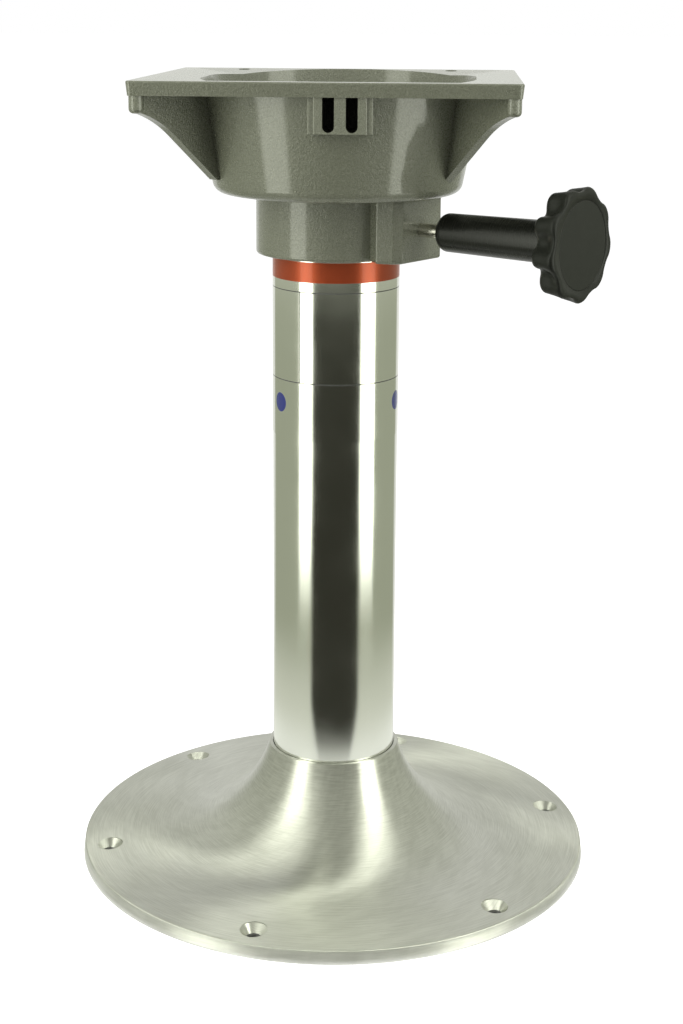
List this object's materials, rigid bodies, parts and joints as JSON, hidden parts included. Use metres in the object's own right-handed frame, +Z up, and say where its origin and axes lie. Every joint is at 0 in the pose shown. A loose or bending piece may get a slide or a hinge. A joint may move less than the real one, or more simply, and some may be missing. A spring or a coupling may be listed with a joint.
{
  "type": "boat seat pedestal",
  "caption": "Fixed-height pedestal for a boat seat: round flared base, polished post and a cast swivel mount with a hand-knob friction lock.",
  "frame": {"origin": "floor level at the post's axis, the centre of the base's underside", "axes": "+Z up along the post; X and Y along the sides of the seat plate, -Y towards the two slots"},
  "size_m": [0.3048, 0.3048, 0.4652],
  "materials": {
    "brushed_aluminium": "brushed in swirls",
    "plain_aluminium": "as turned",
    "polished_aluminium": "polished",
    "zinc_steel": "zinc plated",
    "bright_steel": "turned and polished",
    "label_film": "clear film with plain print",
    "white_nylon": "natural nylon",
    "brown_phenolic": "pressed fibre",
    "hammered_paint": "grey-olive hammered powder coat",
    "black_gloss": "turned, satin gloss",
    "black_matte": "moulded, satin",
    "brass": "as turned"
  },
  "bodies": {
    "base": {"base_flange": "brushed_aluminium", "hub_ring": "plain_aluminium", "post_tube": "polished_aluminium", "post_top_plug": "plain_aluminium", "pivot_spacer": "zinc_steel", "pivot_bolt": "zinc_steel", "spring_washer": "zinc_steel", "retainer_washer": "zinc_steel", "label_film": "label_film"},
    "seat": {"seat_mount": "hammered_paint", "lower_bushing": "white_nylon", "upper_bushing": "white_nylon", "thrust_washer": "white_nylon", "friction_washer": "white_nylon"},
    "brake": {"brake_shoe": "brown_phenolic"},
    "knob": {"lock_stud": "bright_steel", "knob_sleeve": "black_gloss", "knob_body": "black_matte", "knob_insert": "brass", "knob_cap": "black_matte"}
  },
  "joints": [
    {"name": "seat_swivel", "type": "hinge", "parent": "base", "child": "seat", "pos_m": [0, 0, 0.382], "axis": [0, 0, 1], "continuous": true},
    {"name": "lock_screw_travel", "type": "slide", "parent": "seat", "child": "brake", "axis": [0.829, -0.5592, 0], "range_m": [-0.00075, 0.004]},
    {"name": "lock_knob_turn", "type": "hinge", "parent": "brake", "child": "knob", "pos_m": [0.04974, -0.03355, 0.382], "axis": [0.829, -0.5592, 0], "range_deg": [-216, 1152]}
  ],
  "couplings": [
    {"joint": "lock_knob_turn", "follows": "lock_screw_travel", "rad_per_m": 5026.5}
  ]
}
